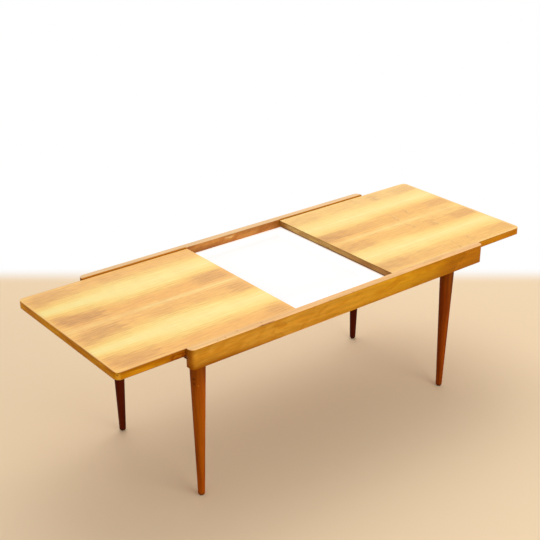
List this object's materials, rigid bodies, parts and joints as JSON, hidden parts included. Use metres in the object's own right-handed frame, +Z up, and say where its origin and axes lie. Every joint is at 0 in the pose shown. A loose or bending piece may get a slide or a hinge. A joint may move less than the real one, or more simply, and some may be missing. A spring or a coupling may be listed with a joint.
{
  "type": "extendable coffee table",
  "caption": "Low wooden coffee table on turned tapered legs, with two veneered leaves that slide apart between long rails over a white tray panel.",
  "frame": {"origin": "on the floor, under the middle of the table", "axes": "+X along the table's length, the way the right leaf pulls out; +Y towards the table's back; +Z up"},
  "size_m": [1.4126, 0.54, 0.482],
  "materials": {
    "rail_wood": "clear satin lacquer over warm golden-brown solid wood",
    "leaf_veneer": "satin-lacquered book-matched veneer, golden with brown stripes",
    "under_veneer": "plain balancing veneer, unpolished",
    "leaf_edge": "satin-lacquered veneer edge band",
    "leaf_inner_edge": "satin-lacquered veneer edge band, a duller brown",
    "leaf_core": "raw core board",
    "bearer_wood": "planed raw hardwood",
    "runner_wood": "planed, waxed hardwood",
    "dowel_wood": "raw fluted hardwood",
    "leg_wood": "satin lacquer over reddish-brown turned wood",
    "board": "brown hard fibreboard",
    "white_laminate": "smooth semi-gloss white laminate",
    "slide_felt": "dense felt strip",
    "glide": "dark moulded glide",
    "steel": "zinc-plated steel"
  },
  "bodies": {
    "frame": {"front_rail": "rail_wood", "back_rail": "rail_wood", "left_cross_rail": "bearer_wood", "right_cross_rail": "bearer_wood", "middle_bearer": "bearer_wood", "board": "board", "white_laminate": "white_laminate", "rail_dowels": "dowel_wood", "left_slide_strips": "slide_felt", "right_slide_strips": "slide_felt", "front_left_leg": "leg_wood", "front_left_leg_plate": "steel", "front_left_foot_glide": "glide", "back_left_leg": "leg_wood", "back_left_leg_plate": "steel", "back_left_foot_glide": "glide", "front_right_leg": "leg_wood", "front_right_leg_plate": "steel", "front_right_foot_glide": "glide", "back_right_leg": "leg_wood", "back_right_leg_plate": "steel", "back_right_foot_glide": "glide", "leg_bolts": "steel", "leg_plate_screws": "steel"},
    "left_leaf": {"left_leaf_core": "leaf_core", "left_leaf_top_veneer": "leaf_veneer", "left_leaf_under_veneer": "under_veneer", "left_leaf_edge_band": "leaf_edge", "left_leaf_inner_band": "leaf_inner_edge", "left_leaf_front_runner": "runner_wood", "left_leaf_back_runner": "runner_wood", "left_leaf_runner_bolts": "steel", "left_leaf_runner_spacers": "steel", "left_leaf_insert_nuts": "steel"},
    "right_leaf": {"right_leaf_core": "leaf_core", "right_leaf_top_veneer": "leaf_veneer", "right_leaf_under_veneer": "under_veneer", "right_leaf_edge_band": "leaf_edge", "right_leaf_inner_band": "leaf_inner_edge", "right_leaf_front_runner": "runner_wood", "right_leaf_back_runner": "runner_wood", "right_leaf_runner_bolts": "steel", "right_leaf_runner_spacers": "steel", "right_leaf_insert_nuts": "steel"}
  },
  "joints": [
    {"name": "left_leaf_slide", "type": "slide", "parent": "frame", "child": "left_leaf", "axis": [1, 0, 0], "range_m": [0, 0.172]},
    {"name": "right_leaf_slide", "type": "slide", "parent": "frame", "child": "right_leaf", "axis": [-1, 0, 0], "range_m": [0, 0.172]}
  ]
}
